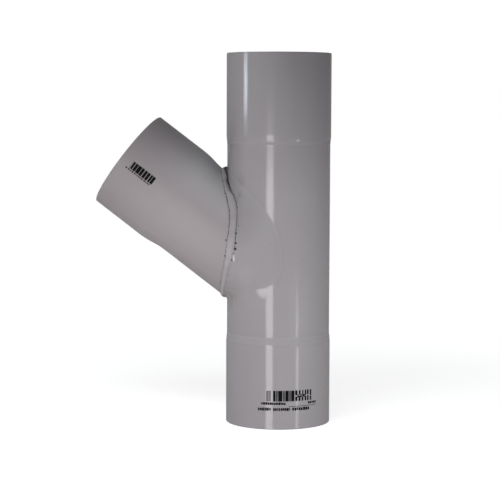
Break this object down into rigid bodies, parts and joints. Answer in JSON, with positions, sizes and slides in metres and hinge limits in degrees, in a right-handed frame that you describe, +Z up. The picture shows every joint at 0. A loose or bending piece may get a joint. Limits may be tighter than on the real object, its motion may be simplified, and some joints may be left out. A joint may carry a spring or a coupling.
{
  "type": "lateral wye fitting",
  "caption": "Upright plastic pipe fitting with a straight run and a side branch that leans upward, a swaged socket on each end and a raised weld bead round the branch joint.",
  "frame": {"origin": "centre of the lower rim, on the axis of the straight run", "axes": "+Z up along the run, -X towards the side the branch leans to, the fitting symmetric about the XZ plane"},
  "size_m": [0.2587, 0.1162, 0.404],
  "materials": {
    "pipe_plastic": "gloss",
    "weld_plastic": "gloss"
  },
  "bodies": {
    "root": {"run": "pipe_plastic", "branch": "pipe_plastic", "weld": "weld_plastic"}
  },
  "joints": []
}
